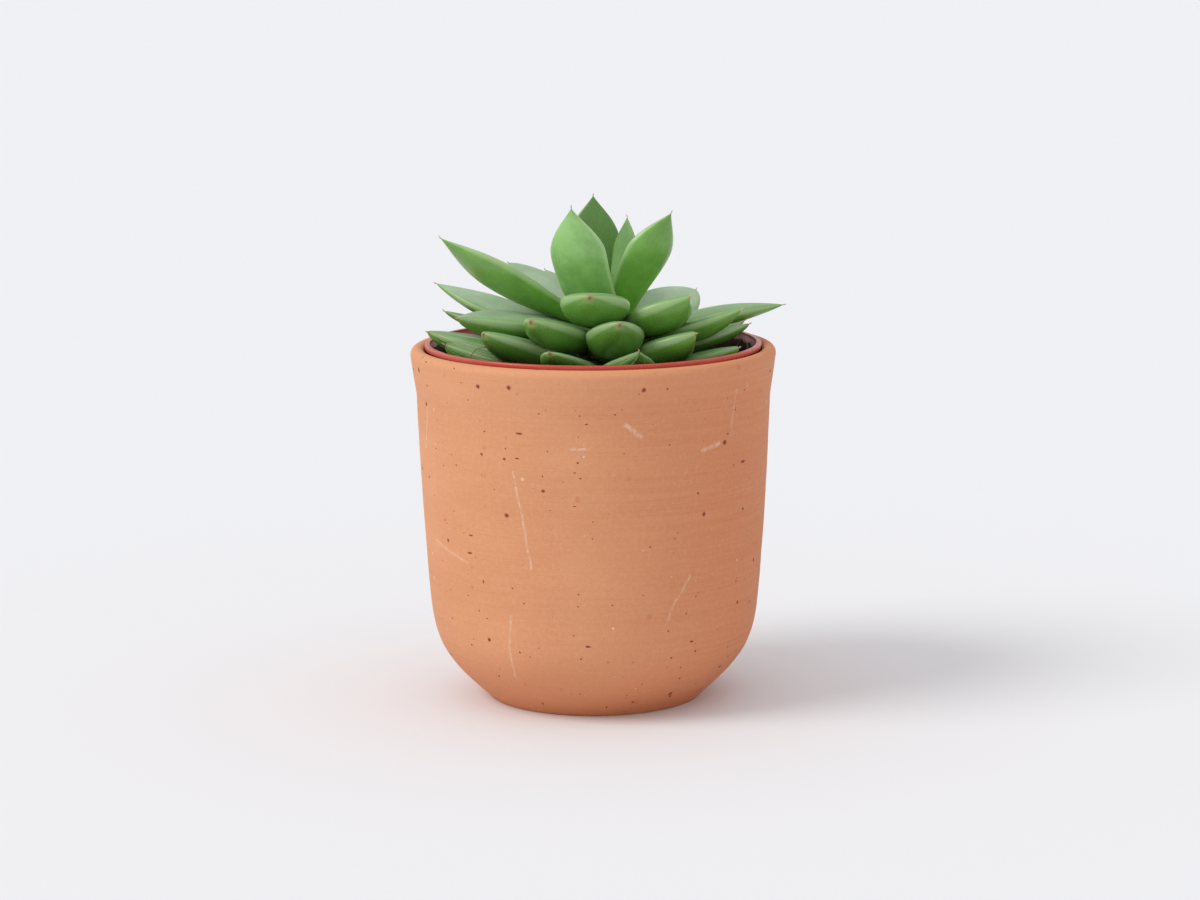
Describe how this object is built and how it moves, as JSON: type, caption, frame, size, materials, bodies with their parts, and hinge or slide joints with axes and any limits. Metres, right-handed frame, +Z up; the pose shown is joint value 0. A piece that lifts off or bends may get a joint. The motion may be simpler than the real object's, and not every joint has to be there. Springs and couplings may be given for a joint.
{
  "type": "planted terracotta pot",
  "caption": "Round-bellied terracotta pot with a flared lip, holding a thin plastic nursery pot with a fleshy rosette succulent; the liner and the plant lift out",
  "frame": {"origin": "centre of the drain hole, on the plane the clay pot stands on", "axes": "+Z up along the pot's axis, -Z out of the drain hole; -Y is the front, where the three lowest leaves face the viewer; +X is the viewer's right"},
  "size_m": [0.0984, 0.0962, 0.1323],
  "materials": {
    "terracotta": "matte",
    "nursery_plastic": "satin",
    "potting_mix": "matte",
    "roots": "matte",
    "stem": "matte",
    "leaf": "satin",
    "perlite": "matte",
    "bark": "matte",
    "dry_twig": "matte"
  },
  "bodies": {
    "terracotta_pot": {"terracotta_pot": "terracotta"},
    "liner": {"nursery_pot": "nursery_plastic"},
    "plant": {"potting_mix": "potting_mix", "roots": "roots", "stem": "stem", "heart_leaf_front": "leaf", "heart_leaf_back": "leaf", "heart_leaf_small": "leaf", "heart_leaf_right": "leaf", "upper_leaf_left": "leaf", "upper_leaf_back_left": "leaf", "upper_leaf_back": "leaf", "upper_leaf_back_right": "leaf", "upper_leaf_front_right": "leaf", "upper_leaf_front": "leaf", "middle_leaf_back_left": "leaf", "middle_leaf_left": "leaf", "middle_leaf_front_left": "leaf", "middle_leaf_front": "leaf", "middle_leaf_right": "leaf", "long_leaf_right": "leaf", "middle_leaf_back_right": "leaf", "middle_leaf_back": "leaf", "lower_leaf_left": "leaf", "lower_leaf_front_left": "leaf", "lower_leaf_front_right": "leaf", "lower_leaf_right": "leaf", "lower_leaf_right_back": "leaf", "lower_leaf_back_right": "leaf", "lower_leaf_back": "leaf", "lower_leaf_back_left": "leaf", "rim_leaf_left": "leaf", "rim_leaf_left_front": "leaf", "rim_leaf_front_left": "leaf", "rim_leaf_front_right": "leaf", "rim_leaf_right": "leaf", "rim_leaf_back_left": "leaf", "rim_leaf_back": "leaf", "rim_leaf_back_right": "leaf", "rim_leaf_right_back": "leaf", "perlite_grains": "perlite", "bark_chips": "bark", "dry_twigs": "dry_twig"}
  },
  "joints": [
    {"name": "liner_lift", "type": "slide", "parent": "terracotta_pot", "child": "liner", "axis": [0, 0, 1], "range_m": [0, 0.1]},
    {"name": "plant_lift", "type": "slide", "parent": "liner", "child": "plant", "axis": [0, 0, 1], "range_m": [0, 0.09]}
  ]
}
